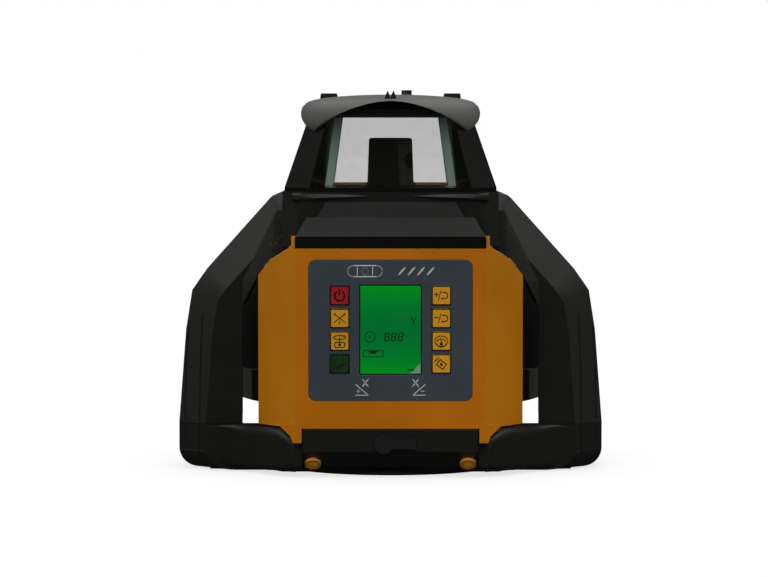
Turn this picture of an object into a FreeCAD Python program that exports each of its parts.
"""Self-levelling rotary laser level, built as an assembly of separate pieces.

Frame: +Z up, millimetres, origin on the axis of the tripod thread at the base plane.
The control panel faces -Y and +X is to its right.
"""
import FreeCAD
import Part
import Sketcher
import math
import os

# ---------------------------------------------------------------- driving sizes
SIZES = {
    # lower housing and base
    "base_radius": 61, "base_foot_height": 3.5, "floor_low": 2, "floor_top": 7.7, "seam_z": 26,
    "front_y": 75, "front_half": 46.4, "side_half": 66, "side_front_y": 46, "lower_rear_y": 78,
    "wall": 2.5, "face_wall": 1.25, "fit_gap": 0.3, "chamfer_rise": 12, "chamfer_run": 14,
    "boss_radius": 15.5,
    "boss_top": 22, "lower_cavity_front": 58, "lower_cavity_half": 60,
    # handles
    "grip_inner": 79.4, "grip_outer": 114.2, "grip_waist": 110.4, "grip_waist_z": 75,
    "grip_knee": 107, "grip_knee_z": 96.5, "arm_knee": 99, "arm_knee_z": 108,
    "arm_root": 65, "arm_root_z": 146, "arm_top": 57, "arm_top_z": 149.5, "grip_half_depth": 38,
    "bar_low": 0.5, "bar_top": 25, "grip_low": 25.2, "bevel": 15, "bar_round": 11, "bar_crest_y": 30,
    "bar_fall_z": 16.5, "flare_low": 2.5, "flare_set": 3, "flare_back": 4, "flare_ease_z": 20.5,
    "flare_a_y": 71, "flare_b": 59, "flare_b_y": 65.5, "flare_c": 69, "flare_c_y": 54,
    "grip_taper": 3,
    "arch_a": 52, "arch_a_z": 121.2, "arch_b": 64, "arch_b_z": 114.4, "arch_c": 70.6,
    "arch_c_z": 106, "arch_d_z": 87,
    # front and rear shells
    "shell_top": 121, "face_half": 50, "wing_half": 70.6, "wing_y": 45, "waist_half": 56,
    "waist_y": 40, "core_y": 55,
    "ear_top": 127, "ear_half": 52.2, "ear_neck_z": 122.6, "ear_foot": 54.6, "ear_foot_z": 120.2,
    "wing_inset": 3.2, "tongue_in": 46.8, "tongue_out": 51.4,
    "tongue_low": 18.5, "tongue_deep": 3, "tongue_b": 52.6, "tongue_b_z": 22, "tongue_c": 55,
    "tongue_c_z": 24.4, "tongue_d": 59.4, "rear_y": 77, "rear_face_half": 58,
    "rear_wing_half": 84, "rear_wing_y": 54, "rear_low": 48.3, "joint_y": 0.15,
    # battery bay, pack and door
    "bay_half": 56, "bay_front": 17, "bay_rear": 84, "bay_low": 8, "bay_top": 48,
    "bay_wall": 2, "belt_half": 85, "belt_front": 44, "belt_low": 30, "belt_inner_low": 27,
    "cell_radius": 13.1, "cell_length": 50, "cell_split": 1, "cell_y1": 34, "cell_y2": 61,
    "cell_z": 26, "tray_half": 53, "tray_low": 10.3, "tray_top": 13.6, "tray_front": 20,
    "tray_rear": 75, "contact_x": 53.2, "contact_thick": 0.8, "contact_spring": 3.5,
    "contact_low": 15, "contact_high": 37, "contact_front": 25, "contact_back": 70,
    "door_half": 51.5, "door_low": 11.4, "door_top": 44, "door_y": 80.3, "door_thick": 3.4,
    "hinge_y": 81.6, "hinge_z": 8.4, "hinge_pin": 1.5, "knuckle": 3, "knuckle_near": 20,
    "knuckle_far": 30, "bearer_far": 36, "running": 0.05, "knob_radius": 8.5, "knob_z": 33,
    "knob_thick": 3, "knob_bar": 2.2, "knob_bar_half": 7.5, "knob_shaft": 3, "latch_reach": 10,
    "latch_half": 3.2, "latch_thick": 2.2,
    # upper housing
    "shoulder_half": 58, "shoulder_corner": 52, "shoulder_top": 150, "shoulder_top_half": 57.5,
    "shoulder_top_corner": 46, "root_half_depth": 57.8, "root_x": 50,
    "cheek_z": 102, "cheek_x": 61, "cheek_top_z": 140, "cheek_top_y": 55, "cheek_bend_x": 57.7,
    "cheek_bend_y": 50, "cheek_top_x": 57, "cheek_fold_y": 47.4,
    "lip_top": 127.3, "step_half": 44.3, "step_top": 137, "step_y": 65, "rise_half": 39,
    "rise_y": 63.5, "rise_top": 144.9, "rise_top_half": 34.5, "rise_top_y": 59.2,
    "upper_cavity": 51.5, "ceiling_low": 147, "ceiling_open": 41,
    # control panel
    "panel_half": 43, "panel_low": 41, "panel_high": 115, "panel_out": 0.2, "panel_thick": 1.4,
    "panel_round": 4, "panel_open_half": 39.5, "panel_open_low": 44.5, "panel_open_high": 111.5,
    "lcd_half": 16.3, "lcd_low": 54.8, "lcd_high": 101.9, "lcd_thick": 1.1, "module_half": 18.6,
    "module_low": 52.5, "module_high": 104.2, "module_thick": 3.4, "key_x": 26.7, "key_top_z": 96.4,
    "key_pitch": 12, "key_half": 5.05, "key_gap": 0.2, "key_proud": 0.55, "key_thick": 2.2,
    "key_stem": 1.8, "key_travel_gap": 0.5, "board_half": 44.5, "stand_x": 42, "stand_z": 3,
    "stand_radius": 1.6, "board_low": 46, "board_high": 110,
    "board_y": 66, "board_thick": 1.6, "switch_half": 2.6, "switch_high": 2.6, "panel_hole_round": 1,
    # lower front panel, plug and socket
    "skirt_low": 5, "skirt_top": 25.7, "skirt_thick": 3.2, "skirt_toe": 10.5, "skirt_sink": 0.1,
    "skirt_mitre": 0.4, "plug_x": -3.5, "plug_z": 18,
    "plug_radius": 5, "plug_head": 1.9, "plug_tab_half": 2.5, "plug_tab_end": 12.95,
    "plug_tab_thick": 1.6, "plug_stem": 3, "plug_stem_long": 1.4, "plug_hole": 3.8,
    "plug_skin": 0.1, "plug_pin": 0.85, "plug_pin_half": 2.9, "socket_radius": 4.2, "socket_long": 10,
    "socket_set": 1.8, "socket_bore": 2.8,
    "socket_pin": 0.7, "cap_x": 41, "cap_radius": 4.3, "cap_thick": 1.7,
    # tripod thread and screws
    "thread_radius": 7.9375, "insert_radius": 12, "insert_top": 18, "insert_flange": 14.2,
    "insert_flange_thick": 1.6, "screw_x": 97, "screw_y": 20, "screw_head": 3.4,
    "screw_head_top": 5, "screw_head_low": 2, "screw_shank": 2, "screw_top": 21,
    "screw_clear": 0.3, "screw_socket": 1.6,
    # lantern
    "lantern_low": 150.1, "lantern_ring_top": 152.4, "lantern_high": 194, "lantern_roof": 3,
    "lantern_half": 56.5, "lantern_corner": 43, "lantern_top_half": 43.3, "lantern_top_corner": 33.2,
    "glass_low": 35, "glass_high": 29.9, "glass_thick": 4, "glass_base": 152.6, "glass_top": 190.4,
    "glass_gap": 0.35, "floor_hole": 17, "floor_plate": 2,
    # cap and sights
    "cap_low": 181, "cap_wide_z": 188.2, "cap_half": 49.3, "cap_low_half": 46.6, "cap_corner": 35,
    "cap_low_corner": 34, "cap_shoulder_z": 196.5, "cap_shoulder_half": 46, "cap_crown_z": 199.6,
    "cap_crown_half": 35, "cap_crown_corner": 25, "cap_top_z": 201.2, "cap_top_half": 18,
    "cap_top_corner": 12, "cap_inner_gap": 0.3, "arch_half": 42, "arch_low_z": 183,
    "arch_mid_half": 27, "arch_mid_z": 190, "arch_near_half": 13, "arch_near_z": 195.4,
    "arch_high_z": 196.9, "arch_peak_half": 3.9, "cap_flare": 4.7, "roof_half": 38,
    "sight_y": 33, "sight_half": 1.55, "sight_pitch": 3.1,
    "sight_seat": 200.2, "sight_tip_z": 204, "sight_long": 9, "side_sight_x": 33.5,
    "side_sight_half": 4.8, "side_sight_top": 202.3, "side_sight_lean": 0.5,
    "rear_sight_x": 8.9, "rear_sight_half": 2.85, "rear_sight_post": 1.5, "rear_sight_bar": 0.5,
    # gimbal
    "pivot_z": 128, "ring_low": 124, "ring_high": 132, "frame_in": 43.6, "frame_out": 49.6,
    "frame_low": 123.2, "frame_high": 133, "ring_in": 35.5, "ring_out": 41, "cradle_radius": 33,
    "pin_radius": 2, "ring_pin_out": 48.6, "ring_set": 0.5, "cradle_pin_in": 28,
    "cradle_pin_out": 40.2, "post_radius": 3, "post_spot": 32.9, "arm_half": 4, "arm_low": 115,
    "arm_thick": 3, "x_drive_y": 41, "y_drive_x": 37, "drive_radius": 8, "drive_low": 90,
    "drive_high": 108, "plunger_radius": 2, "plunger_low": 98, "plunger_gap": 0.3,
    "bracket_half": 12, "bracket_thick": 2.5, "bracket_set": 1.6, "bracket_low": 87.5, "y_arm_low": 116,
    "y_drive_drop": 4,
    # optics and drive
    "tube_radius": 11, "tube_bore": 8, "tube_low": 68, "diode_top": 79, "lens_low": 114,
    "lens_high": 117, "spindle_out": 9.6, "spindle_bore": 7.9, "spindle_top": 139,
    "bearing_in": 4.5, "bearing_thick": 2.8, "bearing_split": 0.8, "shaft_radius": 4.45,
    "shaft_bore": 3, "shaft_low": 132.4, "shaft_top": 156, "pulley_low": 140, "pulley_high": 145,
    "pulley_radius": 9, "flange_rise": 0.9, "motor_y": 19, "motor_radius": 7, "motor_low": 106,
    "motor_high": 132, "motor_shaft": 1, "motor_shaft_low": 126, "motor_pulley_radius": 4.5,
    "belt_thick": 0.8, "belt_gap": 0.1, "sensor_long": 9, "sensor_wide": 3.5, "sensor_high": 5,
    "sensor_spot": 22,
    # rotor head
    "head_low": 152.5, "head_flange_top": 154, "head_flange": 13, "head_base": 12.6,
    "head_top_radius": 11.75, "head_top": 178, "head_chamfer": 0.8, "head_web": 156,
    "head_cavity": 8.4, "head_cavity_top": 174, "aperture_z": 166, "aperture": 4.5,
    "aperture_turn": 60, "prism_half": 5.4, "prism_low": 160.5, "prism_high": 171.3,
    "prism_cut": 3, "window_radius": 4.4, "window_near": 9.6, "window_thick": 1.2,
}

doc = FreeCAD.newDocument("RotaryLaser")
sheet = doc.addObject("Spreadsheet::Sheet", "Sizes")
for row, (size_name, size_value) in enumerate(SIZES.items(), start=1):
    sheet.set("A%d" % row, size_name)
    sheet.set("B%d" % row, str(size_value))
    sheet.setAlias("B%d" % row, size_name)
doc.recompute()


class Size:
    """A length that remembers the sheet expression it comes from."""

    def __init__(self, value, text):
        self.value = float(value)
        self.text = text

    def __add__(self, other):
        other = as_size(other)
        return Size(self.value + other.value, "(%s + %s)" % (self.text, other.text))

    def __sub__(self, other):
        other = as_size(other)
        return Size(self.value - other.value, "(%s - %s)" % (self.text, other.text))

    def __mul__(self, factor):
        factor = as_size(factor)
        return Size(self.value * factor.value, "(%s * %s)" % (self.text, factor.text))

    def __neg__(self):
        return Size(-self.value, "(0 - %s)" % self.text)

    __radd__ = __add__
    __rmul__ = __mul__


def as_size(number):
    return number if isinstance(number, Size) else Size(number, repr(float(number)))


class Sheet:
    """Every driving size as an attribute."""

    def __getattr__(self, name):
        return Size(SIZES[name], "Sizes." + name)


s = Sheet()
ZERO = Size(0, "0")
pieces = []


# ---------------------------------------------------------------- sketch outlines
def pin_point(sketch, geometry, end, x, y):
    """Holds one end of a line, or a centre, at sheet-driven coordinates."""
    for kind, place in (("DistanceX", as_size(x)), ("DistanceY", as_size(y))):
        index = sketch.addConstraint(
            Sketcher.Constraint(kind, -1, 1, geometry, end, place.value))
        sketch.setExpression("Constraints[%d]" % index, place.text)


def vector(point):
    return FreeCAD.Vector(as_size(point[0]).value, as_size(point[1]).value, 0)


def polygon(points):
    """A closed outline through the given corners."""
    def draw(sketch):
        first = sketch.GeometryCount
        count = len(points)
        for i in range(count):
            line = Part.LineSegment(vector(points[i]), vector(points[(i + 1) % count]))
            sketch.addGeometry(line, False)
        for i in range(count):
            sketch.addConstraint(Sketcher.Constraint(
                "Coincident", first + i, 2, first + (i + 1) % count, 1))
        for i in range(count):
            pin_point(sketch, first + i, 1, *points[i])
    return draw


def rectangle(x0, y0, x1, y1):
    return polygon([(x0, y0), (x1, y0), (x1, y1), (x0, y1)])


def circle(x, y, radius):
    def draw(sketch):
        centre = vector((x, y))
        ring = sketch.addGeometry(Part.Circle(centre, FreeCAD.Vector(0, 0, 1), radius.value), False)
        index = sketch.addConstraint(Sketcher.Constraint("Radius", ring, radius.value))
        sketch.setExpression("Constraints[%d]" % index, radius.text)
        pin_point(sketch, ring, 3, x, y)
    return draw


def mirrored_x(points):
    """The same corners on both sides of the centre plane, as one closed outline."""
    return points + [(-as_size(x), y) for x, y in reversed(points)]


def four_fold(half, corner):
    """Square outline with its four corners cut off."""
    return polygon([(half, -corner), (half, corner), (corner, half), (-corner, half),
                    (-half, corner), (-half, -corner), (-corner, -half), (corner, -half)])


def loop_outline(radius_a, radius_b, distance):
    """Outline of a belt round one wheel at the origin and one further along +Y."""
    def draw(sketch):
        lean = math.asin((radius_a.value - radius_b.value) / distance.value)
        up = FreeCAD.Vector(0, 0, 1)
        wheel_a = Part.Circle(FreeCAD.Vector(0, 0, 0), up, radius_a.value)
        wheel_b = Part.Circle(FreeCAD.Vector(0, distance.value, 0), up, radius_b.value)
        start = math.pi - lean
        arc_a = sketch.addGeometry(Part.ArcOfCircle(wheel_a, start, math.pi * 2 + lean), False)
        arc_b = sketch.addGeometry(Part.ArcOfCircle(wheel_b, lean, start), False)
        ends = [sketch.Geometry[arc_a], sketch.Geometry[arc_b]]
        right = sketch.addGeometry(Part.LineSegment(ends[0].EndPoint, ends[1].StartPoint), False)
        left = sketch.addGeometry(Part.LineSegment(ends[1].EndPoint, ends[0].StartPoint), False)
        for one, one_end, two, two_end in ((arc_a, 2, right, 1), (right, 2, arc_b, 1),
                                           (arc_b, 2, left, 1), (left, 2, arc_a, 1)):
            sketch.addConstraint(Sketcher.Constraint("Tangent", one, one_end, two, two_end))
        for arc, radius in ((arc_a, radius_a), (arc_b, radius_b)):
            index = sketch.addConstraint(Sketcher.Constraint("Radius", arc, radius.value))
            sketch.setExpression("Constraints[%d]" % index, radius.text)
        pin_point(sketch, arc_a, 3, ZERO, ZERO)
        pin_point(sketch, arc_b, 3, ZERO, distance)
    return draw


# ---------------------------------------------------------------- bodies
class Piece:
    """One named sub-part: a PartDesign body with short calls for its features."""

    def __init__(self, label):
        self.body = doc.addObject("PartDesign::Body", "Body")
        self.body.Label = label
        self.body.Placement = FreeCAD.Placement()
        pieces.append(self.body)

    def origin(self, role):
        return [f for f in self.body.Origin.OriginFeatures if f.Role == role][0]

    def sketch(self, role, level, *outlines):
        sketch = self.body.newObject("Sketcher::SketchObject", "Sketch")
        sketch.AttachmentSupport = [(self.origin(role), "")]
        sketch.MapMode = "FlatFace"
        level = as_size(level)
        sketch.AttachmentOffset = FreeCAD.Placement(
            FreeCAD.Vector(0, 0, level.value), FreeCAD.Rotation())
        sketch.setExpression("AttachmentOffset.Base.z", level.text)
        for draw in outlines:
            draw(sketch)
        return sketch

    def pad(self, role, low, high, *outlines):
        """Adds material between two levels along the plane's normal."""
        feature = self.body.newObject("PartDesign::Pad", "Pad")
        feature.Profile = self.sketch(role, low, *outlines)
        length = as_size(high) - as_size(low)
        feature.Length = length.value
        feature.setExpression("Length", length.text)
        return self.settle(feature)

    def cut(self, role, low, high, *outlines):
        """Removes material between two levels along the plane's normal."""
        before = self.volume()
        feature = self.body.newObject("PartDesign::Pocket", "Pocket")
        feature.Profile = self.sketch(role, high, *outlines)
        length = as_size(high) - as_size(low)
        feature.Length = length.value
        feature.setExpression("Length", length.text)
        self.settle(feature)
        if not self.volume() < before:
            raise ValueError("a cut in %s removes nothing" % self.body.Label)
        return feature

    def turn(self, role, outline, axis="Z_Axis"):
        feature = self.body.newObject("PartDesign::Revolution", "Revolution")
        feature.Profile = self.sketch(role, ZERO, outline)
        feature.ReferenceAxis = (self.origin(axis), [""])
        feature.Angle = 360
        return self.settle(feature)

    def loft(self, *sections, cut=False):
        """Straight-sided loft through (level, outline) sections that lie on XY."""
        kind = "PartDesign::SubtractiveLoft" if cut else "PartDesign::AdditiveLoft"
        sketches = [self.sketch("XY_Plane", level, outline) for level, outline in sections]
        feature = self.body.newObject(kind, "Loft")
        feature.Profile = sketches[0]
        feature.Sections = sketches[1:]
        feature.Ruled = True
        return self.settle(feature)

    def around(self, count, *features):
        feature = self.body.newObject("PartDesign::PolarPattern", "PolarPattern")
        feature.Originals = list(features)
        feature.Axis = (self.origin("Z_Axis"), [""])
        feature.Angle = 360
        feature.Occurrences = count
        self.body.Tip = feature
        return self.settle(feature)

    def edge_dress(self, kind, test, size, second=None):
        base = self.body.Tip
        names = ["Edge%d" % (i + 1) for i, edge in enumerate(base.Shape.Edges) if test(edge)]
        feature = self.body.newObject("PartDesign::" + kind, kind)
        feature.Base = (base, names)
        if kind == "Fillet":
            feature.Radius = size.value
            feature.setExpression("Radius", size.text)
        else:
            feature.Size = size.value
            feature.setExpression("Size", size.text)
        if second is not None:
            feature.ChamferType = "Two distances"
            feature.Size2 = second.value
            feature.setExpression("Size2", second.text)
        return self.settle(feature)

    def round_edges(self, test, size):
        return self.edge_dress("Fillet", test, size)

    def bevel_edges(self, test, size):
        return self.edge_dress("Chamfer", test, size)

    def settle(self, feature):
        doc.recompute()
        if feature.State != ["Up-to-date"] or feature.Shape.isNull():
            raise ValueError("%s in %s: %s" % (feature.Name, self.body.Label, feature.State))
        return feature

    def volume(self):
        return self.body.Shape.Volume


def wheel(label, low, high, outer, bore=None, x=ZERO, y=ZERO):
    """A round piece standing on Z, hollow when a bore is given."""
    piece = Piece(label)
    rings = [circle(x, y, outer)]
    if bore is not None:
        rings.append(circle(x, y, bore))
    piece.pad("XY_Plane", low, high, *rings)
    return piece


# ---------------------------------------------------------------- edge tests
TINY = 0.01


def spans(edge, axis):
    """Size of an edge along one axis (0, 1, 2)."""
    box = edge.BoundBox
    return (box.XLength, box.YLength, box.ZLength)[axis]


def upright_at(x_test):
    """Vertical straight edges whose X passes the given test."""
    def test(edge):
        flat = spans(edge, 0) < TINY and spans(edge, 1) < TINY
        return flat and spans(edge, 2) > 1 and x_test(abs(edge.CenterOfMass.x))
    return test


# ---------------------------------------------------------------- housings
def handle_profile():
    """Front-view outline of the two arms and grips with the bridge between them."""
    right = [
        (s.arch_a, s.arch_a_z), (s.arch_b, s.arch_b_z), (s.arch_c, s.arch_c_z),
        (s.grip_inner, s.arch_d_z), (s.grip_inner, s.grip_low), (s.grip_outer, s.grip_low),
        (s.grip_waist, s.grip_waist_z), (s.grip_knee, s.grip_knee_z), (s.arm_knee, s.arm_knee_z),
        (s.arm_root, s.arm_root_z), (s.arm_top, s.arm_top_z)]
    return polygon(mirrored_x(right))


def is_outer_handle_edge(edge):
    """Edges of the front and back faces that follow the outside of the arms."""
    centre = edge.CenterOfMass
    on_face = abs(abs(centre.y) - s.grip_half_depth.value) < TINY and spans(edge, 1) < TINY
    outside = abs(centre.x) > s.arm_top.value and centre.z > s.grip_low.value + TINY
    inner = abs(centre.x) < s.grip_inner.value + 0.1 and centre.z < s.arm_knee_z.value
    arch = abs(centre.x) < s.arch_c.value and centre.z < s.arch_a_z.value + 0.1
    return on_face and outside and not inner and not arch


def add_cheeks(piece):
    """Slanting faces that lead from the arms out to the shoulder block."""
    near = s.grip_half_depth
    far = s.root_half_depth
    for face in (1, -1):
        for side in (1, -1):
            wide = polygon([(s.root_x * side, near * face), (s.root_x * side, far * face),
                            (s.cheek_bend_x * side, s.cheek_bend_y * face),
                            (s.grip_inner * side, near * face)])
            narrow = polygon([(s.root_x * side, near * face), (s.root_x * side, s.cheek_top_y * face),
                              (s.cheek_top_x * side, s.cheek_fold_y * face),
                              (s.cheek_x * side, near * face)])
            piece.pad("XY_Plane", s.arch_d_z, s.cheek_z, wide)
            piece.loft((s.cheek_z - s.running, wide), (s.cheek_top_z, narrow))
    out = s.grip_inner + s.wall
    for low, high in ((near, far + s.wall), (-far - s.wall, -near)):
        for side in (1, -1):
            arch = [(s.root_x * side, s.arch_d_z - s.wall), (s.root_x * side, s.arch_a_z),
                    (s.arch_a * side, s.arch_a_z), (s.arch_b * side, s.arch_b_z),
                    (s.arch_c * side, s.arch_c_z), (out * side, s.arch_d_z - s.wall)]
            piece.cut("XZ_Plane", low, high, polygon(arch))


def upper_housing():
    piece = Piece("upper_housing")
    piece.pad("XZ_Plane", -s.grip_half_depth, s.grip_half_depth, handle_profile())
    piece.bevel_edges(is_outer_handle_edge, s.bevel)
    add_cheeks(piece)
    piece.loft((s.shell_top + s.joint_y, four_fold(s.shoulder_half, s.shoulder_corner)),
               (s.shoulder_top, four_fold(s.shoulder_top_half, s.shoulder_top_corner)))
    steps = ((s.face_half, s.front_y, s.shell_top + s.joint_y, s.face_half, s.front_y, s.lip_top),
             (s.face_half, s.front_y, s.lip_top, s.step_half, s.step_y, s.step_top),
             (s.rise_half, s.rise_y, s.step_top, s.rise_top_half, s.rise_top_y, s.rise_top))
    for x0, y0, z0, x1, y1, z1 in steps:
        piece.loft((z0, rectangle(-x0, -y0, x0, y0)), (z1, rectangle(-x1, -y1, x1, y1)))
    deep = s.grip_half_depth
    for side in (1, -1):
        wedge = [((s.grip_inner - s.wall) * side, -deep - s.wall), (s.grip_inner * side, -deep),
                 ((s.grip_inner + s.grip_taper) * side, deep + s.wall),
                 ((s.grip_inner - s.wall) * side, deep + s.wall)]
        piece.cut("XY_Plane", s.grip_low, s.arch_d_z, polygon(wedge))
    cavity = s.upper_cavity
    piece.cut("XY_Plane", s.shell_top, s.ceiling_low, rectangle(-cavity, -cavity, cavity, cavity))
    piece.cut("XY_Plane", s.ceiling_low, s.shoulder_top, circle(ZERO, ZERO, s.ceiling_open))
    for x in (s.screw_x, -s.screw_x):
        for y in (s.screw_y, -s.screw_y):
            piece.cut("XY_Plane", s.grip_low, s.screw_top + s.seam_z,
                      circle(x, y, s.screw_shank + s.screw_clear))
    return piece


def shell_outline(wing_half, wing_y, face_half, face_y):
    """Plan of a body shell: flat face, flared wing, then in to the waist."""
    return [(s.waist_half, s.joint_y), (s.waist_half, s.waist_y), (wing_half, wing_y),
            (face_half, face_y)]


def shell_hollow(face_y):
    """Plan of the room inside a shell; the flared wings stay solid."""
    side = s.waist_half - s.wall
    near = s.face_half - s.face_wall
    return [(side, s.joint_y), (side, s.core_y), (near, s.core_y), (near, face_y - s.wall)]


def to_front(points):
    return [(x, -y) for x, y in points]


def clear_of_arms(piece):
    """Trims a shell under the shoulder block and the arch of both handle arms."""
    top = s.ear_top + s.wall
    gap = s.key_gap
    keep = s.face_half + s.fit_gap
    deep = s.shoulder_half + s.fit_gap
    for side in (1, -1):
        arch = [(keep * side, top), (keep * side, s.shell_top),
                ((s.arch_a - gap) * side, s.shell_top - gap),
                ((s.arch_b - gap) * side, s.arch_b_z - gap),
                ((s.arch_c - gap) * side, s.arch_c_z - gap),
                (s.grip_outer * side, s.arch_c_z - gap), (s.grip_outer * side, top)]
        piece.cut("XZ_Plane", -deep, deep, polygon(arch))


def is_panel_recess_corner(edge):
    """Short edges at the four corners of the recess that holds the keypad panel."""
    straight = spans(edge, 0) < TINY and spans(edge, 2) < TINY and spans(edge, 1) > 1
    aside = abs(abs(edge.CenterOfMass.x) - s.panel_half.value - s.key_gap.value) < TINY
    return straight and aside


def front_housing():
    piece = Piece("front_housing")
    outer = shell_outline(s.wing_half, s.wing_y, s.face_half, s.front_y)
    piece.pad("XY_Plane", s.seam_z + s.joint_y, s.ear_top, polygon(mirrored_x(to_front(outer))))
    deep = s.front_y + s.wall
    keep = s.face_half + s.fit_gap
    piece.cut("XZ_Plane", ZERO, deep, rectangle(-keep, s.shell_top, keep, s.ear_top + s.wall))
    for side in (1, -1):
        crop = [(s.ear_half * side, s.ear_top + s.wall), (s.ear_half * side, s.ear_neck_z),
                (s.ear_foot * side, s.ear_foot_z),
                (s.arch_b * side, s.arch_b_z), (s.arch_c * side, s.arch_c_z),
                (s.grip_outer * side, s.arch_c_z), (s.grip_outer * side, s.ear_top + s.wall)]
        piece.cut("XZ_Plane", ZERO, deep, polygon(crop))
        tongue = [(s.tongue_in * side, s.seam_z + s.wall), (s.tongue_in * side, s.tongue_low),
                  (s.tongue_out * side, s.tongue_low), (s.tongue_b * side, s.tongue_b_z),
                  (s.tongue_c * side, s.tongue_c_z), (s.tongue_d * side, s.seam_z + s.wall)]
        piece.pad("XZ_Plane", s.front_y - s.tongue_deep, s.front_y, polygon(tongue))
    clear_of_arms(piece)
    piece.cut("XY_Plane", s.seam_z, s.ear_top, polygon(mirrored_x(to_front(shell_hollow(s.front_y)))))
    recess = s.panel_thick - s.panel_out
    piece.cut("XZ_Plane", s.front_y - recess, s.front_y, rectangle(
        -s.panel_half - s.key_gap, s.panel_low - s.key_gap,
        s.panel_half + s.key_gap, s.panel_high + s.key_gap))
    piece.round_edges(is_panel_recess_corner, s.panel_round)
    piece.cut("XZ_Plane", s.front_y - s.wall - s.wall, s.front_y, rectangle(
        -s.panel_open_half, s.panel_open_low, s.panel_open_half, s.panel_open_high))
    return piece


def rear_housing():
    piece = Piece("rear_housing")
    outer = shell_outline(s.rear_wing_half, s.rear_wing_y, s.rear_face_half, s.rear_y)
    piece.pad("XY_Plane", s.rear_low, s.shell_top, polygon(mirrored_x(outer)))
    piece.pad("XY_Plane", s.seam_z + s.joint_y, s.rear_low + s.running, rectangle(
        -s.waist_half, s.joint_y, s.waist_half, s.bay_front - s.fit_gap))
    piece.cut("XY_Plane", s.seam_z, s.shell_top, polygon(mirrored_x(shell_hollow(s.rear_y))))
    top = s.shell_top + s.wall
    for side in (1, -1):
        crop = [((s.shoulder_half + s.wall) * side, top), ((s.shoulder_half + s.wall) * side, s.arch_b_z),
                (s.grip_outer * side, s.arch_d_z), (s.grip_outer * side, top)]
        piece.cut("XZ_Plane", -s.rear_y - s.wall, ZERO, polygon(crop))
    clear_of_arms(piece)
    return piece


def flare_plan(side, inset):
    """Plan of the swelling that carries the front of the body out to one handle bar."""
    return polygon([
        (s.root_x * side, -s.grip_half_depth + s.bevel), (s.root_x * side, -s.flare_a_y + inset),
        (s.flare_b * side, -s.flare_b_y + inset), (s.flare_c * side, -s.flare_c_y + inset),
        (s.grip_inner * side, -s.grip_half_depth),
        (s.grip_inner * side, -s.grip_half_depth + s.bevel)])


def is_bar_underside_edge(edge):
    """Bottom edges round the outer end of each handle bar."""
    low = edge.CenterOfMass.z < s.bar_low.value + TINY and spans(edge, 2) < TINY
    return low and abs(edge.CenterOfMass.x) > s.grip_outer.value - s.bevel.value


def lower_housing():
    piece = Piece("lower_housing")
    plan = [(s.front_half, -s.front_y), (s.front_half, -s.front_y + s.tongue_deep + s.fit_gap),
            (s.tongue_out, -s.front_y + s.tongue_deep + s.fit_gap), (s.side_half, -s.side_front_y),
            (s.side_half, s.side_front_y), (s.side_half - s.wing_inset, s.lower_rear_y)]
    piece.pad("XY_Plane", s.floor_low, s.seam_z, polygon(mirrored_x(plan)))
    for side in (1, -1):
        near = (s.front_y - s.chamfer_run) * side
        far = (s.front_y + s.chamfer_run) * side
        slope = [(near, s.floor_low), (far, s.floor_low + s.chamfer_rise * 2),
                 (far, s.floor_low - s.wall), (near, s.floor_low - s.wall)]
        piece.cut("YZ_Plane", -s.grip_inner, s.grip_inner, polygon(slope))
    for side in (1, -1):
        levels = ((s.flare_low, s.flare_set), (s.flare_low + s.flare_set, ZERO),
                  (s.flare_ease_z, ZERO), (s.bar_top, s.flare_back))
        piece.loft(*[(level, flare_plan(side, inset)) for level, inset in levels])
    deep = s.grip_half_depth
    reach = s.grip_outer
    bar = [(reach - s.bevel, -deep), (reach, -deep + s.bevel), (reach, deep - s.bevel),
           (reach - s.bevel, deep)]
    piece.pad("XY_Plane", s.bar_low, s.bar_top, polygon(mirrored_x(bar)))
    piece.round_edges(is_bar_underside_edge, s.bar_round)
    for side in (1, -1):
        ends = sorted((s.side_half * side, (s.grip_inner + s.grip_taper) * side),
                      key=lambda v: v.value)
        fall = [(-s.bar_crest_y, s.bar_top), (-s.bar_crest_y, s.seam_z), (deep + s.wall, s.seam_z),
                (deep + s.wall, s.bar_fall_z)]
        piece.cut("YZ_Plane", ends[0], ends[1], polygon(fall))
    piece.pad("XY_Plane", ZERO, s.base_foot_height, circle(ZERO, ZERO, s.base_radius))
    skirt = s.skirt_thick + s.fit_gap
    piece.cut("YZ_Plane", -s.front_half, s.front_half, polygon(skirt_profile(skirt, s.wall)))
    piece.cut("XZ_Plane", s.lower_cavity_front, s.front_y - s.skirt_thick,
              circle(s.plug_x, s.plug_z, s.socket_radius + s.fit_gap))
    half = s.lower_cavity_half
    piece.cut("XY_Plane", s.floor_top, s.seam_z,
              rectangle(-half, -s.lower_cavity_front, half, s.bay_front - s.wall))
    piece.cut("XY_Plane", s.bay_low - s.fit_gap, s.seam_z, rectangle(
        -s.bay_half - s.fit_gap, s.bay_front - s.fit_gap, s.bay_half + s.fit_gap,
        s.bay_rear + s.wall))
    piece.pad("XY_Plane", s.floor_low, s.boss_top, circle(ZERO, ZERO, s.boss_radius))
    piece.cut("XY_Plane", ZERO, s.boss_top, circle(ZERO, ZERO, s.insert_radius))
    piece.cut("XY_Plane", ZERO, s.insert_flange_thick, circle(ZERO, ZERO, s.insert_flange))
    for x in (s.screw_x, -s.screw_x):
        for y in (s.screw_y, -s.screw_y):
            piece.cut("XY_Plane", ZERO, s.screw_head_top,
                      circle(x, y, s.screw_head + s.screw_clear))
            piece.cut("XY_Plane", s.screw_head_top, s.bar_top,
                      circle(x, y, s.screw_shank + s.screw_clear))
    return piece


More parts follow.
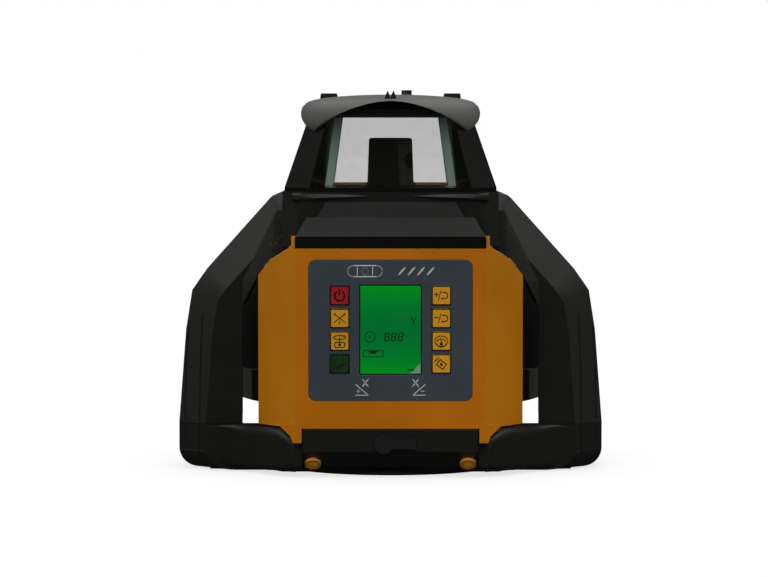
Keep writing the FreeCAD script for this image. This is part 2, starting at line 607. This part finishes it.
def skirt_profile(thick, grow):
    """Side view of the bent lower front panel, or of its seat when grown outward."""
    bend = s.floor_low + s.chamfer_rise
    toe = s.front_y - s.skirt_toe
    low = s.skirt_low - grow * s.skirt_sink
    return [(-s.front_y - grow, s.skirt_top + grow), (-s.front_y - grow, bend),
            (-toe - grow, low), (-toe + thick, low),
            (-s.front_y + thick, bend + thick * s.skirt_mitre), (-s.front_y + thick, s.skirt_top + grow)]


def lower_front_panel():
    piece = Piece("lower_front_panel")
    half = s.front_half - s.fit_gap
    piece.pad("YZ_Plane", -half, half, polygon(skirt_profile(s.skirt_thick, ZERO)))
    piece.cut("XZ_Plane", s.front_y - s.skirt_thick * 2, s.front_y,
              circle(s.plug_x, s.plug_z, s.plug_hole))
    return piece


def battery_bay():
    piece = Piece("battery_bay")
    half = s.bay_half
    piece.pad("XY_Plane", s.bay_low, s.bay_top, rectangle(-half, s.bay_front, half, s.bay_rear))
    belt = [(half - s.wall, s.bay_top), (half - s.wall, s.belt_inner_low), (half + s.wall,
            s.belt_inner_low), (s.belt_half, s.belt_low + s.wall), (s.belt_half, s.bay_top)]
    left = [(-x, z) for x, z in belt]
    piece.pad("XZ_Plane", -s.bay_rear, -s.belt_front, polygon(belt))
    piece.pad("XZ_Plane", -s.bay_rear, -s.belt_front, polygon(left))
    piece.bevel_edges(upright_at(lambda x: x > s.belt_half.value - TINY), s.wall * 3)
    wall = s.bay_wall
    piece.cut("XY_Plane", s.bay_low + wall, s.bay_top - wall,
              rectangle(-half + wall, s.bay_front + wall, half - wall, s.door_y - s.joint_y))
    piece.cut("XZ_Plane", -s.bay_rear, -s.door_y + s.joint_y, rectangle(
        -s.door_half - s.fit_gap, s.bay_low, s.door_half + s.fit_gap, s.door_top + s.fit_gap))
    for side in (1, -1):
        near = (s.knuckle_far + s.fit_gap) * side
        far = s.bearer_far * side
        low, high = (near, far) if side > 0 else (far, near)
        piece.pad("YZ_Plane", low, high, circle(s.hinge_y, s.hinge_z, s.knuckle))
        piece.cut("YZ_Plane", low, high, circle(s.hinge_y, s.hinge_z, s.hinge_pin))
    reach = s.knuckle + s.fit_gap
    piece.cut("YZ_Plane", -s.knuckle_far - s.fit_gap, s.knuckle_far + s.fit_gap,
              circle(s.hinge_y, s.hinge_z, reach))
    return piece


def door_hinge_pin():
    piece = Piece("door_hinge_pin")
    piece.pad("YZ_Plane", -s.bearer_far, s.bearer_far, circle(s.hinge_y, s.hinge_z, s.hinge_pin))
    return piece


def battery_door():
    piece = Piece("battery_door")
    rear = s.door_y + s.door_thick
    piece.pad("XZ_Plane", -rear, -s.door_y, rectangle(-s.door_half, s.door_low, s.door_half, s.door_top))
    for side in (1, -1):
        ends = sorted((s.knuckle_near * side, s.knuckle_far * side), key=lambda size: size.value)
        piece.pad("YZ_Plane", ends[0], ends[1], circle(s.hinge_y, s.hinge_z, s.knuckle))
        piece.pad("YZ_Plane", ends[0], ends[1], rectangle(
            s.hinge_y - s.running, s.hinge_z, s.hinge_y + s.knob_bar, s.door_low + s.wall))
        piece.cut("YZ_Plane", ends[0], ends[1], circle(s.hinge_y, s.hinge_z, s.hinge_pin + s.running))
    piece.cut("XZ_Plane", -rear, -s.door_y, circle(ZERO, s.knob_z, s.knob_shaft + s.running))
    return piece


def latch_knob():
    piece = Piece("latch_knob")
    face = s.door_y + s.door_thick + s.plug_skin
    back = s.door_y - s.plug_skin
    piece.pad("XZ_Plane", -face - s.knob_thick, -face, circle(ZERO, s.knob_z, s.knob_radius))
    piece.pad("XZ_Plane", -face - s.knob_thick - s.knob_bar, -face - s.knob_thick * 0.5, rectangle(
        -s.knob_bar, s.knob_z - s.knob_bar_half, s.knob_bar, s.knob_z + s.knob_bar_half))
    piece.pad("XZ_Plane", -face - s.knob_thick * 0.5, -back + s.latch_thick,
              circle(ZERO, s.knob_z, s.knob_shaft))
    piece.pad("XZ_Plane", -back, -back + s.latch_thick, rectangle(
        -s.latch_half, s.knob_z - s.latch_half, s.latch_half, s.knob_z + s.latch_reach))
    return piece


def battery_pack():
    piece = Piece("battery_pack")
    piece.pad("XY_Plane", s.tray_low, s.tray_top, rectangle(
        -s.tray_half, s.tray_front, s.tray_half, s.tray_rear))
    for y in (s.cell_y1, s.cell_y2):
        piece.pad("YZ_Plane", -s.cell_length - s.cell_split, s.cell_length + s.cell_split,
                  circle(y, s.cell_z, s.cell_radius))
    piece.cut("YZ_Plane", -s.cell_split, s.cell_split, rectangle(
        s.bay_front, s.tray_top, s.bay_rear, s.bay_top))
    for end in (1, -1):
        edge = s.tray_half * end
        inner = (s.tray_half - s.wall) * end
        low, high = (inner, edge) if end > 0 else (edge, inner)
        for y in (s.tray_front, s.tray_rear - s.bay_wall):
            piece.pad("YZ_Plane", low, high, rectangle(y, s.tray_low, y + s.bay_wall, s.cell_z))
    return piece


def battery_contacts():
    piece = Piece("battery_contacts")
    thick = s.contact_thick
    for side in (1, -1):
        ends = sorted((s.contact_x * side, (s.contact_x + thick) * side), key=lambda v: v.value)
        piece.pad("YZ_Plane", ends[0], ends[1], rectangle(
            s.contact_front, s.contact_low, s.contact_back, s.contact_high))
        inner = s.cell_length + s.cell_split + s.fit_gap
        near = sorted((inner * side, s.contact_x * side), key=lambda v: v.value)
        for y in (s.cell_y1, s.cell_y2):
            piece.pad("YZ_Plane", near[0], near[1], circle(y, s.cell_z, s.contact_spring))
    return piece


def thread_insert():
    piece = wheel("thread_insert", ZERO, s.insert_top, s.insert_radius, s.thread_radius)
    piece.pad("XY_Plane", ZERO, s.insert_flange_thick,
              circle(ZERO, ZERO, s.insert_flange), circle(ZERO, ZERO, s.thread_radius))
    return piece


def housing_screws():
    piece = Piece("housing_screws")
    for x in (s.screw_x, -s.screw_x):
        for y in (s.screw_y, -s.screw_y):
            piece.pad("XY_Plane", s.screw_head_low, s.screw_head_top, circle(x, y, s.screw_head))
            piece.pad("XY_Plane", s.screw_head_top, s.screw_top + s.bar_top,
                      circle(x, y, s.screw_shank))
            piece.cut("XY_Plane", s.screw_head_low, s.screw_head_low + s.screw_socket,
                      circle(x, y, s.screw_socket))
    return piece


# ---------------------------------------------------------------- control panel
def key_places():
    for column, x in (("left", -s.key_x), ("right", s.key_x)):
        for row in range(4):
            yield column, row, x, s.key_top_z - s.key_pitch * row


def keypad_panel():
    piece = Piece("keypad_panel")
    front = s.front_y + s.panel_out
    piece.pad("XZ_Plane", front - s.panel_thick, front, rectangle(
        -s.panel_half, s.panel_low, s.panel_half, s.panel_high))
    piece.round_edges(lambda edge: spans(edge, 1) > 1 and spans(edge, 0) < TINY, s.panel_round)
    lcd = s.lcd_half + s.key_gap
    outlines = [rectangle(-lcd, s.lcd_low - s.key_gap, lcd, s.lcd_high + s.key_gap)]
    hole = s.key_half + s.key_gap
    for _, _, x, z in key_places():
        outlines.append(rectangle(x - hole, z - hole, x + hole, z + hole))
    piece.cut("XZ_Plane", front - s.panel_thick, front, *outlines)
    return piece


def key(name, x, z):
    piece = Piece(name)
    face = s.front_y + s.key_proud
    half = s.key_half
    piece.pad("XZ_Plane", face - s.key_thick, face, rectangle(x - half, z - half, x + half, z + half))
    piece.round_edges(lambda edge: spans(edge, 1) > 1 and spans(edge, 0) < TINY, s.panel_hole_round)
    switch = s.board_y + s.board_thick + s.switch_high + s.key_travel_gap
    piece.pad("XZ_Plane", switch, face - s.key_thick, circle(x, z, s.key_stem))
    return piece


def main_board():
    piece = Piece("main_board")
    face = s.board_y + s.board_thick
    piece.pad("XZ_Plane", s.board_y, face, rectangle(
        -s.board_half, s.board_low, s.board_half, s.board_high))
    half = s.switch_half
    for _, _, x, z in key_places():
        piece.pad("XZ_Plane", face, face + s.switch_high, rectangle(x - half, z - half, x + half, z + half))
    for x in (s.stand_x, -s.stand_x):
        for z in (s.board_low + s.stand_z, s.board_high - s.stand_z):
            piece.pad("XZ_Plane", face, s.front_y - s.wall, circle(x, z, s.stand_radius))
    return piece


def lcd_window():
    piece = Piece("lcd_window")
    front = s.front_y + s.panel_out * 0.5
    piece.pad("XZ_Plane", front - s.lcd_thick, front, rectangle(
        -s.lcd_half, s.lcd_low, s.lcd_half, s.lcd_high))
    return piece


def lcd_module():
    piece = Piece("lcd_module")
    face = s.front_y + s.panel_out - s.panel_thick - s.key_gap
    piece.pad("XZ_Plane", face - s.module_thick, face, rectangle(
        -s.module_half, s.module_low, s.module_half, s.module_high))
    return piece


def jack_plug():
    piece = Piece("jack_plug")
    face = s.front_y + s.plug_skin
    piece.pad("XZ_Plane", face, face + s.plug_head, circle(s.plug_x, s.plug_z, s.plug_radius))
    piece.pad("XZ_Plane", face, face + s.plug_tab_thick, rectangle(
        s.plug_x, s.plug_z - s.plug_tab_half, s.plug_tab_end, s.plug_z + s.plug_tab_half))
    piece.pad("XZ_Plane", s.front_y - s.plug_stem_long, face, circle(s.plug_x, s.plug_z, s.plug_stem))
    piece.pad("XY_Plane", s.plug_z - s.plug_pin_half, s.plug_z + s.plug_pin_half,
              circle(s.plug_tab_end, -(face + s.plug_pin), s.plug_pin))
    return piece


def charging_socket():
    piece = Piece("charging_socket")
    face = s.front_y - s.skirt_thick - s.socket_set
    piece.pad("XZ_Plane", face - s.socket_long, face, circle(s.plug_x, s.plug_z, s.socket_radius))
    piece.cut("XZ_Plane", face - s.socket_long + s.wall, face,
              circle(s.plug_x, s.plug_z, s.socket_bore), circle(s.plug_x, s.plug_z, s.socket_pin))
    return piece


def placed_cylinder(name, radius, length, at, tilt):
    """A primitive round slug with its axis tipped about X."""
    slug = doc.addObject("Part::Cylinder", name)
    slug.Radius = radius.value
    slug.setExpression("Radius", radius.text)
    slug.Height = length.value
    slug.setExpression("Height", length.text)
    slug.Placement = FreeCAD.Placement(
        FreeCAD.Vector(*[as_size(v).value for v in at]), FreeCAD.Rotation(FreeCAD.Vector(1, 0, 0), tilt))
    for axis, place in zip("xyz", at):
        slug.setExpression("Placement.Base." + axis, as_size(place).text)
    return slug


def fused(label, members):
    whole = doc.addObject("Part::MultiFuse", "Fusion")
    whole.Shapes = members
    whole.Label = label
    whole.Placement = FreeCAD.Placement()
    doc.recompute()
    pieces.append(whole)
    return whole


def foot_caps():
    """Two round caps lying on the sloped part of the lower front panel."""
    tilt = 90 + math.degrees(math.atan2(s.chamfer_run.value, s.chamfer_rise.value))
    y = -(s.front_y - s.chamfer_run * 0.5)
    z = s.floor_low + s.chamfer_rise * 0.5
    discs = [placed_cylinder("Disc", s.cap_radius, s.cap_thick, (x, y, z), tilt)
             for x in (s.cap_x, -s.cap_x)]
    return fused("foot_caps", discs)


# ---------------------------------------------------------------- lantern and cap
def lantern_frame():
    piece = Piece("lantern_frame")
    gap = s.glass_gap
    low_in = s.glass_low + gap
    high_in = s.glass_high + gap
    ring = low_in
    piece.pad("XY_Plane", s.lantern_low, s.lantern_ring_top, four_fold(s.lantern_half, s.lantern_corner),
              rectangle(-ring, -ring, ring, ring))

    def kite(half, corner, inner):
        return polygon([(inner, inner), (half, corner), (corner, half)])
    pillar = piece.loft((s.lantern_ring_top - s.running, kite(s.lantern_half, s.lantern_corner, low_in)),
                        (s.lantern_high - s.lantern_roof,
                         kite(s.lantern_top_half, s.lantern_top_corner, high_in)))
    piece.around(4, pillar)
    piece.pad("XY_Plane", s.lantern_high - s.lantern_roof, s.lantern_high,
              four_fold(s.lantern_top_half, s.lantern_top_corner))
    return piece


def lantern_floor():
    piece = Piece("lantern_floor")
    half = s.glass_low
    piece.pad("XY_Plane", s.lantern_low, s.lantern_low + s.floor_plate,
              rectangle(-half, -half, half, half), circle(ZERO, ZERO, s.floor_hole))
    return piece


def pane(name, side, across):
    """A leaning glass plate; front and rear plates cover the ends of the side plates."""
    piece = Piece(name)
    shorter = ZERO if not across else s.glass_thick + s.glass_gap
    sections = []
    for level, outer in ((s.glass_base, s.glass_low), (s.glass_top, s.glass_high)):
        inner = outer - s.glass_thick
        half = outer - shorter
        if across:
            ends = sorted((inner * side, outer * side), key=lambda v: v.value)
            outline = rectangle(ends[0], -half, ends[1], half)
        else:
            ends = sorted((inner * side, outer * side), key=lambda v: v.value)
            outline = rectangle(-half, ends[0], half, ends[1])
        sections.append((level, outline))
    piece.loft(*sections)
    return piece


def top_bumper():
    piece = Piece("top_bumper")
    piece.loft((s.cap_low, four_fold(s.cap_low_half, s.cap_low_corner)),
               (s.cap_wide_z, four_fold(s.cap_half, s.cap_corner)),
               (s.cap_shoulder_z, four_fold(s.cap_shoulder_half, s.cap_low_corner)),
               (s.cap_crown_z, four_fold(s.cap_crown_half, s.cap_crown_corner)),
               (s.cap_top_z, four_fold(s.cap_top_half, s.cap_top_corner)))
    arch = [(s.arch_half, s.cap_low - s.wall), (s.arch_half, s.arch_low_z), (s.arch_mid_half, s.arch_mid_z),
            (s.arch_near_half, s.arch_near_z), (s.arch_peak_half, s.arch_high_z)]
    roof = s.roof_half
    low = s.lantern_top_half + s.cap_inner_gap
    corner = s.lantern_top_corner + s.cap_inner_gap
    piece.loft((s.cap_low - s.joint_y, four_fold(low + s.cap_flare, corner + s.cap_flare)),
               (s.lantern_high + s.cap_inner_gap, four_fold(low, corner)), cut=True)
    for role in ("XZ_Plane", "YZ_Plane"):
        for low_end, high_end in ((-s.cap_half, -roof), (roof, s.cap_half)):
            piece.cut(role, low_end, high_end, polygon(mirrored_x(arch)))
    wide = s.side_sight_half
    deep = s.sight_y + s.sight_long * 0.5
    seats = [(-wide, -deep, wide, -s.sight_y),
             (s.rear_sight_x - wide, s.sight_y, s.rear_sight_x + wide, deep),
             (-s.side_sight_x - wide, -wide, -s.side_sight_x + wide, wide),
             (s.side_sight_x - wide, -wide, s.side_sight_x + wide, wide)]
    for seat in seats:
        piece.pad("XY_Plane", s.cap_crown_z - s.wall, s.sight_seat, rectangle(*seat))
    return piece


def sights():
    """Aiming marks on the cap: a notch in front, lugs at the sides and the rear."""
    front = Piece("sight_front")
    seat = s.sight_seat
    for x in (-s.sight_pitch * 0.5, s.sight_pitch * 0.5):
        ridge = [(x - s.sight_half, seat), (x + s.sight_half, seat), (x, s.sight_tip_z)]
        front.pad("XZ_Plane", s.sight_y, s.sight_y + s.sight_long * 0.5, polygon(ridge))
    rear = Piece("sight_rear")
    left = s.rear_sight_x - s.rear_sight_half
    right = s.rear_sight_x + s.rear_sight_half
    under = s.sight_tip_z - s.rear_sight_bar
    gate = [(left, seat), (left + s.rear_sight_post, seat), (left + s.rear_sight_post, under),
            (right - s.rear_sight_bar, under), (right - s.rear_sight_bar, seat), (right, seat),
            (right, s.sight_tip_z), (left, s.sight_tip_z)]
    rear.pad("XZ_Plane", -s.sight_y - s.sight_long * 0.5, -s.sight_y, polygon(gate))
    for name, side in (("left", -1), ("right", 1)):
        lug = Piece("sight_" + name)
        centre = s.side_sight_x * side
        wide = s.side_sight_half
        narrow = s.side_sight_half - s.side_sight_lean
        lug.pad("XZ_Plane", -s.rear_sight_half, s.rear_sight_half, polygon([
            (centre - wide, seat), (centre + wide, seat),
            (centre + narrow, s.side_sight_top), (centre - narrow, s.side_sight_top)]))


# ---------------------------------------------------------------- gimbal, optics, drive
def gimbal_frame():
    piece = wheel("gimbal_frame", s.frame_low, s.frame_high, s.frame_out, s.frame_in)
    for x in (s.post_spot, -s.post_spot):
        for y in (s.post_spot, -s.post_spot):
            piece.pad("XY_Plane", s.frame_high - s.running, s.ceiling_low, circle(x, y, s.post_radius))
    half = s.bracket_half
    near = s.frame_in + s.running
    for side in (1, -1):
        ends = sorted((half * side, (half - s.bracket_thick) * side), key=lambda v: v.value)
        piece.pad("XY_Plane", s.bracket_low, s.frame_low + s.running,
                  rectangle(ends[0], -s.frame_out + s.bracket_set, ends[1], -near))
    piece.pad("XY_Plane", s.bracket_low, s.drive_low, rectangle(
        -half, -s.frame_out + s.bracket_set, half, -s.x_drive_y + s.drive_radius))
    piece.cut("YZ_Plane", -s.frame_out, s.frame_out, circle(ZERO, s.pivot_z, s.pin_radius + s.running))
    return piece


def gimbal_ring():
    piece = wheel("gimbal_ring", s.ring_low, s.ring_high, s.ring_out, s.ring_in)
    half = s.arm_half
    piece.pad("XY_Plane", s.arm_low, s.arm_low + s.arm_thick, rectangle(
        -half, -s.x_drive_y - half, half, -s.ring_in - s.running))
    piece.pad("XY_Plane", s.arm_low, s.ring_low + s.wall, rectangle(
        -half, -s.ring_out + s.ring_set, half, -s.ring_in - s.ring_set))
    bracket = s.bracket_half
    for side in (1, -1):
        ends = sorted((bracket * side, (bracket - s.bracket_thick) * side), key=lambda v: v.value)
        piece.pad("XY_Plane", s.bracket_low - s.y_drive_drop, s.ring_low + s.wall, rectangle(
            -s.ring_out + s.wall, ends[0], -s.ring_in - s.running, ends[1]))
    piece.pad("XY_Plane", s.bracket_low - s.y_drive_drop, s.drive_low - s.y_drive_drop, rectangle(
        -s.y_drive_x - s.drive_radius, -bracket, -s.y_drive_x + s.drive_radius, bracket))
    piece.cut("YZ_Plane", -s.ring_out, s.ring_out, circle(ZERO, s.pivot_z, s.pin_radius))
    piece.cut("XZ_Plane", -s.ring_out, s.ring_out, circle(ZERO, s.pivot_z, s.pin_radius + s.running))
    return piece


def cradle():
    piece = wheel("cradle", s.ring_low, s.ring_high, s.cradle_radius, s.tube_bore)
    piece.pad("XY_Plane", s.ring_high - s.running, s.spindle_top,
              circle(ZERO, ZERO, s.spindle_out), circle(ZERO, ZERO, s.spindle_bore))
    half = s.arm_half
    piece.pad("XY_Plane", s.y_arm_low, s.y_arm_low + s.arm_thick, rectangle(
        -s.y_drive_x - half, -half, -s.cradle_radius + s.wall * 2, half))
    piece.pad("XY_Plane", s.y_arm_low, s.ring_low + s.wall, rectangle(
        -s.cradle_radius + s.wall, -half, -s.cradle_radius + s.wall * 2, half))
    piece.cut("XY_Plane", s.ring_low, s.ring_high, circle(ZERO, s.motor_y, s.motor_radius))
    for low, high in ((-s.cradle_radius, -s.cradle_pin_in), (s.cradle_pin_in, s.cradle_radius)):
        piece.cut("XZ_Plane", low, high, circle(ZERO, s.pivot_z, s.pin_radius))
    return piece


def pins(name, role, near, far):
    piece = Piece(name)
    piece.pad(role, near, far, circle(ZERO, s.pivot_z, s.pin_radius))
    piece.pad(role, -far, -near, circle(ZERO, s.pivot_z, s.pin_radius))
    return piece


def optics():
    wheel("laser_tube", s.tube_low, s.ring_low, s.tube_radius, s.tube_bore)
    wheel("laser_diode", s.tube_low, s.diode_top, s.tube_bore)
    wheel("collimator_lens", s.lens_low, s.lens_high, s.tube_bore)
    sensors = Piece("tilt_sensors")
    spot = s.sensor_spot
    sensors.pad("XY_Plane", s.ring_low - s.sensor_high, s.ring_low, rectangle(
        spot - s.sensor_wide, -s.sensor_long, spot + s.sensor_wide, s.sensor_long))
    sensors.pad("XY_Plane", s.ring_low - s.sensor_high, s.ring_low, rectangle(
        -s.sensor_long, -spot - s.sensor_wide, s.sensor_long, -spot + s.sensor_wide))
    bearings = Piece("spindle_bearings")
    low = s.ring_high + s.key_gap
    for start in (low, low + s.bearing_thick + s.bearing_split):
        bearings.pad("XY_Plane", start, start + s.bearing_thick,
                     circle(ZERO, ZERO, s.spindle_bore), circle(ZERO, ZERO, s.bearing_in))


def drive():
    motor = wheel("drive_motor", s.motor_low, s.motor_high, s.motor_radius, y=s.motor_y)
    motor.cut("XY_Plane", s.motor_shaft_low - s.fit_gap, s.motor_high,
              circle(ZERO, s.motor_y, s.motor_shaft + s.running))
    small = wheel("motor_pulley", s.pulley_low, s.pulley_high, s.motor_pulley_radius, y=s.motor_y)
    small.pad("XY_Plane", s.motor_shaft_low, s.pulley_low + s.running,
              circle(ZERO, s.motor_y, s.motor_shaft))
    belt = Piece("drive_belt")
    inner = s.belt_gap
    outer = s.belt_gap + s.belt_thick
    belt.pad("XY_Plane", s.pulley_low + s.flange_rise, s.pulley_high - s.flange_rise,
             loop_outline(s.pulley_radius + outer, s.motor_pulley_radius + outer, s.motor_y),
             loop_outline(s.pulley_radius + inner, s.motor_pulley_radius + inner, s.motor_y))


def levelling():
    """Two push-rod actuators: one on the frame for X, one on the ring for Y."""
    bore = s.plunger_radius + s.running
    for name, x, y, drop, arm in (
            ("x", ZERO, -s.x_drive_y, ZERO, s.arm_low),
            ("y", -s.y_drive_x, ZERO, s.y_drive_drop, s.y_arm_low)):
        motor = wheel("level_motor_" + name, s.drive_low - drop, s.drive_high - drop, s.drive_radius,
                      x=x, y=y)
        motor.cut("XY_Plane", s.drive_low - drop + s.wall, s.drive_high - drop, circle(x, y, bore))
        wheel("level_plunger_" + name, s.plunger_low - drop, arm - s.plunger_gap, s.plunger_radius,
              x=x, y=y)


def rotor():
    head = Piece("rotor_head")
    outline = [(s.shaft_radius, s.head_low), (s.head_flange, s.head_low),
               (s.head_flange, s.head_flange_top),
               (s.head_base, s.head_flange_top), (s.head_top_radius, s.head_top - s.head_chamfer),
               (s.head_top_radius - s.head_chamfer, s.head_top), (ZERO, s.head_top),
               (ZERO, s.head_cavity_top), (s.head_cavity, s.head_cavity_top),
               (s.head_cavity, s.head_web), (s.shaft_radius, s.head_web)]
    head.turn("XZ_Plane", polygon(outline))
    bore = head.sketch("YZ_Plane", s.head_base + s.wall, circle(ZERO, s.aperture_z, s.aperture))
    aim_offset(bore, s.head_base + s.wall)
    feature = head.body.newObject("PartDesign::Pocket", "Pocket")
    feature.Profile = bore
    reach = s.head_base + s.wall - s.head_cavity + s.wall
    feature.Length = reach.value
    feature.setExpression("Length", reach.text)
    head.settle(feature)
    shaft = wheel("rotor_shaft", s.shaft_low, s.shaft_top, s.shaft_radius, s.shaft_bore)
    shaft.pad("XY_Plane", s.pulley_low, s.pulley_high,
              circle(ZERO, ZERO, s.pulley_radius), circle(ZERO, ZERO, s.shaft_bore))
    window = Piece("rotor_window")
    face = window.sketch("YZ_Plane", s.window_near, circle(ZERO, s.aperture_z, s.window_radius))
    aim_offset(face, s.window_near)
    disc = window.body.newObject("PartDesign::Pad", "Pad")
    disc.Profile = face
    disc.Length = s.window_thick.value
    disc.setExpression("Length", s.window_thick.text)
    window.settle(disc)
    prism = Piece("prism")
    half = s.prism_half
    side = [(-half, s.prism_low), (half, s.prism_low), (half, s.prism_high - s.prism_cut),
            (half - s.prism_cut, s.prism_high), (-half, s.prism_high)]
    base = prism.sketch("XZ_Plane", -half, polygon(side))
    body = prism.body.newObject("PartDesign::Pad", "Pad")
    body.Profile = base
    body.Length = half.value * 2
    body.setExpression("Length", (half * 2).text)
    prism.settle(body)


def aim_offset(sketch, reach):
    """Turns a YZ sketch about Z so that it faces the aperture direction."""
    turn = s.aperture_turn - 90
    lean = FreeCAD.Rotation(FreeCAD.Vector(0, 1, 0), turn.value)
    sketch.AttachmentOffset = FreeCAD.Placement(lean.multVec(FreeCAD.Vector(0, 0, reach.value)), lean)
    sketch.setExpression("AttachmentOffset.Base.x", "%s * sin(%s * 1 deg)" % (reach.text, turn.text))
    sketch.setExpression("AttachmentOffset.Base.z", "%s * cos(%s * 1 deg)" % (reach.text, turn.text))
    doc.recompute()


# ---------------------------------------------------------------- assembly
lower_housing()
lower_front_panel()
front_housing()
rear_housing()
upper_housing()
battery_bay()
door_hinge_pin()
battery_door()
latch_knob()
battery_pack()
battery_contacts()
thread_insert()
housing_screws()
keypad_panel()
main_board()
lcd_window()
lcd_module()
for column, row, key_x, key_z in key_places():
    key("key_%s_%d" % (column, row + 1), key_x, key_z)
jack_plug()
charging_socket()
foot_caps()
lantern_frame()
lantern_floor()
pane("pane_front", -1, False)
pane("pane_rear", 1, False)
pane("pane_left", -1, True)
pane("pane_right", 1, True)
top_bumper()
sights()
gimbal_frame()
gimbal_ring()
cradle()
pins("ring_pins", "YZ_Plane", s.ring_in + s.wall * 0.2, s.ring_pin_out)
pins("cradle_pins", "XZ_Plane", s.cradle_pin_in, s.cradle_pin_out)
optics()
drive()
levelling()
rotor()

doc.recompute()
for piece in pieces:
    if any(word in piece.State for word in ("Invalid", "Error")):
        raise ValueError("%s is not up to date: %s" % (piece.Label, piece.State))
    if piece.Shape.isNull() or not piece.Shape.isValid() or piece.Shape.Volume <= 0:
        raise ValueError("%s has no valid solid" % piece.Label)

os.makedirs("parts", exist_ok=True)
for piece in pieces:
    piece.Shape.exportStep(os.path.join("parts", piece.Label + ".step"))
print("pieces written: %d" % len(pieces))
